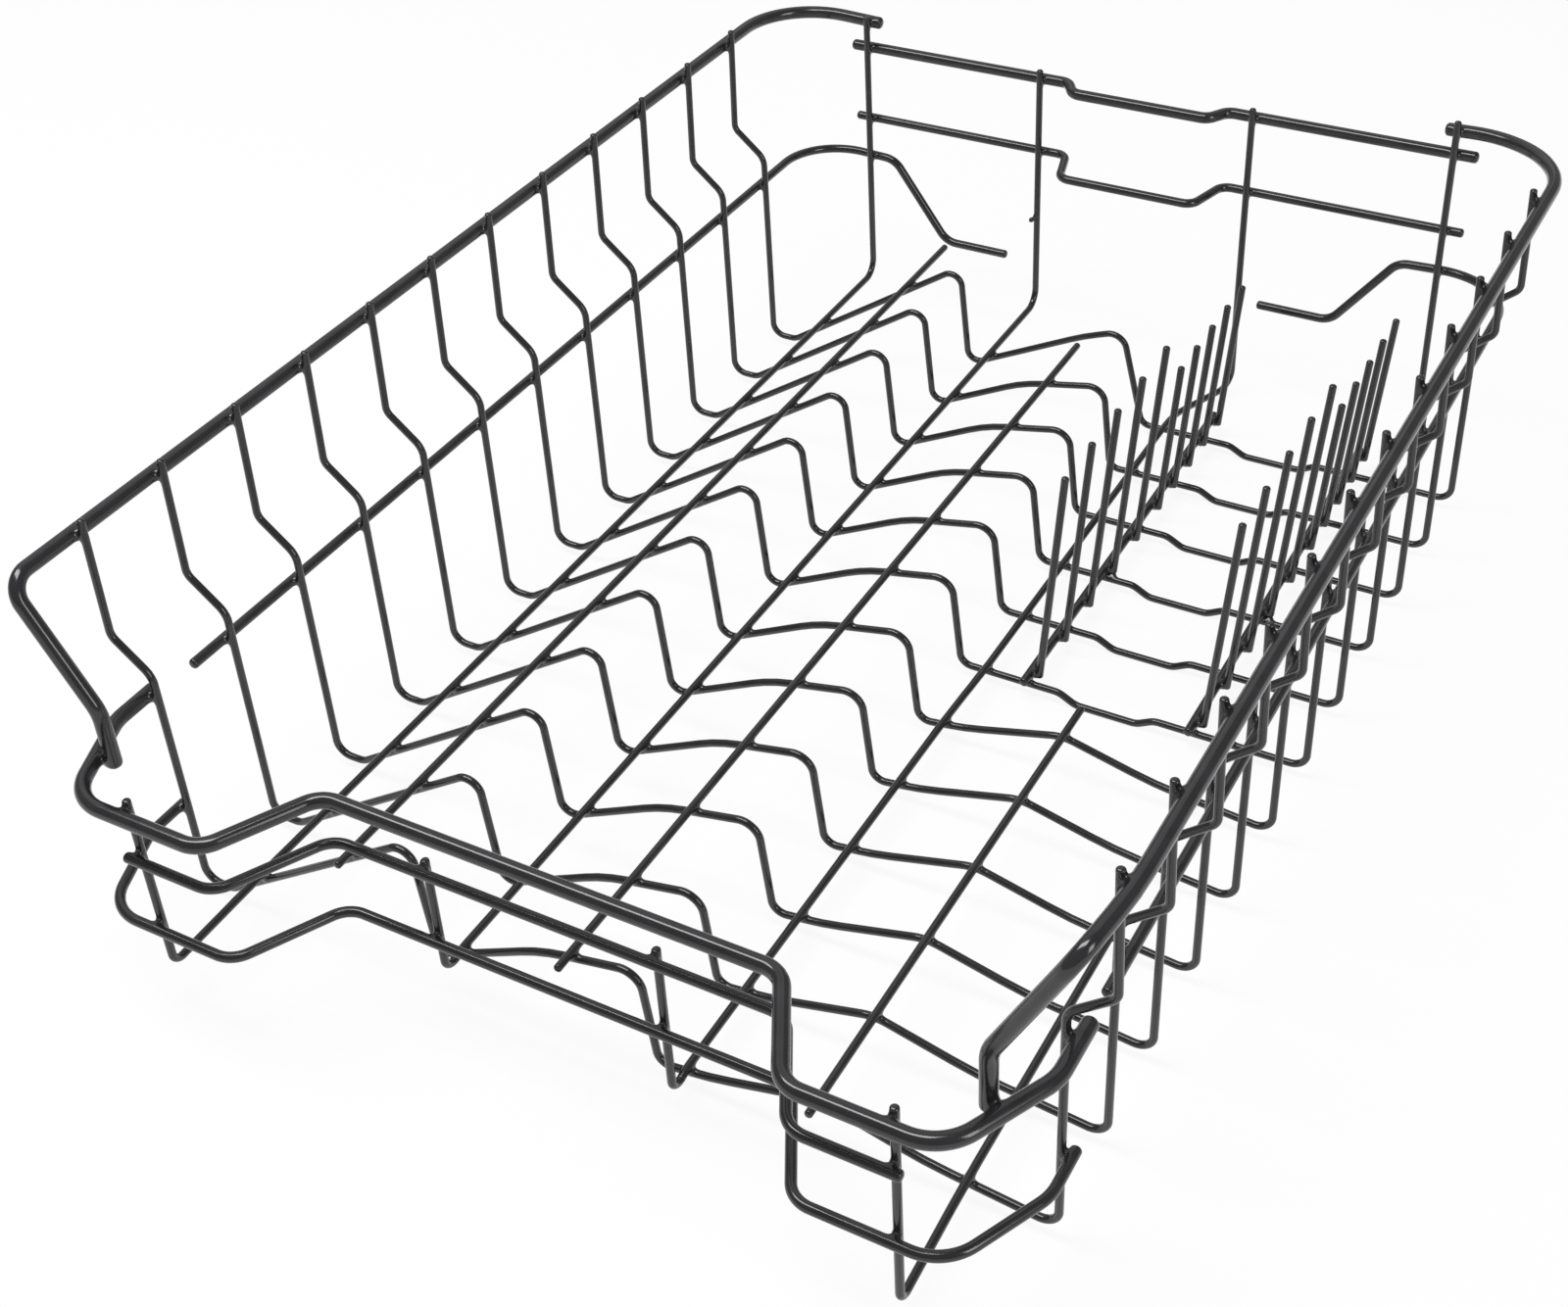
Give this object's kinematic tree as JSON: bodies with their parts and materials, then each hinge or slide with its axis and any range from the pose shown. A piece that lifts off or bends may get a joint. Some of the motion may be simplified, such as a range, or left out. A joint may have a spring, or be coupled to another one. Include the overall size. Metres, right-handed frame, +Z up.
{
  "type": "dishwasher basket",
  "caption": "Open wire basket for a slim dishwasher, with flared side walls, a stepped floor with a cup ramp and trough, rows of plate tines and a stepped front hand grip.",
  "frame": {"origin": "under the middle of the basket, on the surface it stands on", "axes": "+X across to the right seen from the front, +Y from the front grip to the back, +Z up"},
  "size_m": [0.3645, 0.515, 0.1564],
  "materials": {
    "coated_wire": "dark grey semi-gloss plastic coating over steel wire"
  },
  "bodies": {
    "root": {"back_lower_rail": "coated_wire", "back_top_rail": "coated_wire", "cross_wire_01": "coated_wire", "cross_wire_02": "coated_wire", "cross_wire_03": "coated_wire", "cross_wire_04": "coated_wire", "cross_wire_05": "coated_wire", "cross_wire_06": "coated_wire", "cross_wire_07": "coated_wire", "cross_wire_08": "coated_wire", "cross_wire_09": "coated_wire", "cross_wire_10": "coated_wire", "cross_wire_11": "coated_wire", "cross_wire_12": "coated_wire", "floor_run": "coated_wire", "front_grip_rail": "coated_wire", "front_lower_rail": "coated_wire", "front_middle_rail": "coated_wire", "hump_run": "coated_wire", "ledge_run": "coated_wire", "outer_run_left": "coated_wire", "outer_run_right": "coated_wire", "ramp_run": "coated_wire", "rim_left": "coated_wire", "rim_right": "coated_wire", "side_wire_left": "coated_wire", "side_wire_right": "coated_wire", "tine_carrier_inner": "coated_wire", "tine_carrier_outer": "coated_wire", "tine_inner_01": "coated_wire", "tine_inner_02": "coated_wire", "tine_inner_03": "coated_wire", "tine_inner_04": "coated_wire", "tine_inner_05": "coated_wire", "tine_inner_06": "coated_wire", "tine_inner_07": "coated_wire", "tine_inner_08": "coated_wire", "tine_inner_09": "coated_wire", "tine_inner_10": "coated_wire", "tine_outer_01": "coated_wire", "tine_outer_02": "coated_wire", "tine_outer_03": "coated_wire", "tine_outer_04": "coated_wire", "tine_outer_05": "coated_wire", "tine_outer_06": "coated_wire", "tine_outer_07": "coated_wire", "tine_outer_08": "coated_wire", "tine_outer_09": "coated_wire", "tine_outer_10": "coated_wire", "trough_run": "coated_wire"}
  },
  "joints": []
}
